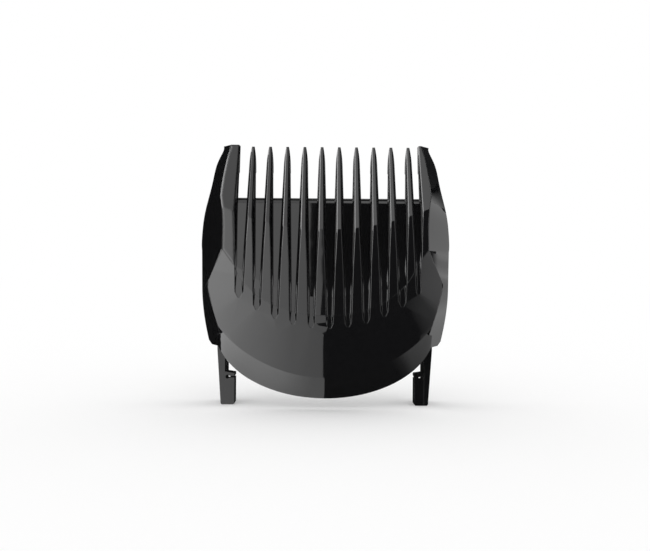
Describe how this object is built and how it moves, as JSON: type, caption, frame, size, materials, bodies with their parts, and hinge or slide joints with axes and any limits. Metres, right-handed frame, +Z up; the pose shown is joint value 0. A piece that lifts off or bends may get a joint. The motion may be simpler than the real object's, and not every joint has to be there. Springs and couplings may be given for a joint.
{
  "type": "hair clipper guide comb",
  "caption": "Clip-on hair clipper guide comb: long tapered teeth on a leaning plate, dished smooth shell below, flared side walls and two spring snap legs.",
  "frame": {"origin": "centre of the comb's bounding box at its base, the feet of the two legs", "axes": "+Z up from the leg feet to the tooth tips, -Y the skin side that faces the viewer, +X to the viewer's right"},
  "size_m": [0.0578, 0.0195, 0.0603],
  "materials": {
    "black_plastic": "polished injection moulded, gloss black"
  },
  "bodies": {
    "comb": {"face_shell": "black_plastic", "blade_plate": "black_plastic", "tooth_01": "black_plastic", "tooth_02": "black_plastic", "tooth_03": "black_plastic", "tooth_04": "black_plastic", "tooth_05": "black_plastic", "tooth_06": "black_plastic", "tooth_07": "black_plastic", "tooth_08": "black_plastic", "tooth_09": "black_plastic", "tooth_10": "black_plastic", "outer_tooth_left": "black_plastic", "outer_tooth_right": "black_plastic", "cheek_left": "black_plastic", "cheek_right": "black_plastic", "leg_root_left": "black_plastic", "leg_root_right": "black_plastic"},
    "left_leg": {"leg_left": "black_plastic", "catch_left": "black_plastic"},
    "right_leg": {"leg_right": "black_plastic", "catch_right": "black_plastic"}
  },
  "joints": [
    {"name": "left_leg_flex", "type": "hinge", "parent": "comb", "child": "left_leg", "pos_m": [-0.02395, 0.00575, 0.022], "axis": [0, 1, 0], "range_deg": [0, 3], "stiffness_Nm_per_rad": 1.1},
    {"name": "right_leg_flex", "type": "hinge", "parent": "comb", "child": "right_leg", "pos_m": [0.02395, 0.00575, 0.022], "axis": [0, -1, 0], "range_deg": [0, 3], "stiffness_Nm_per_rad": 1.1}
  ]
}
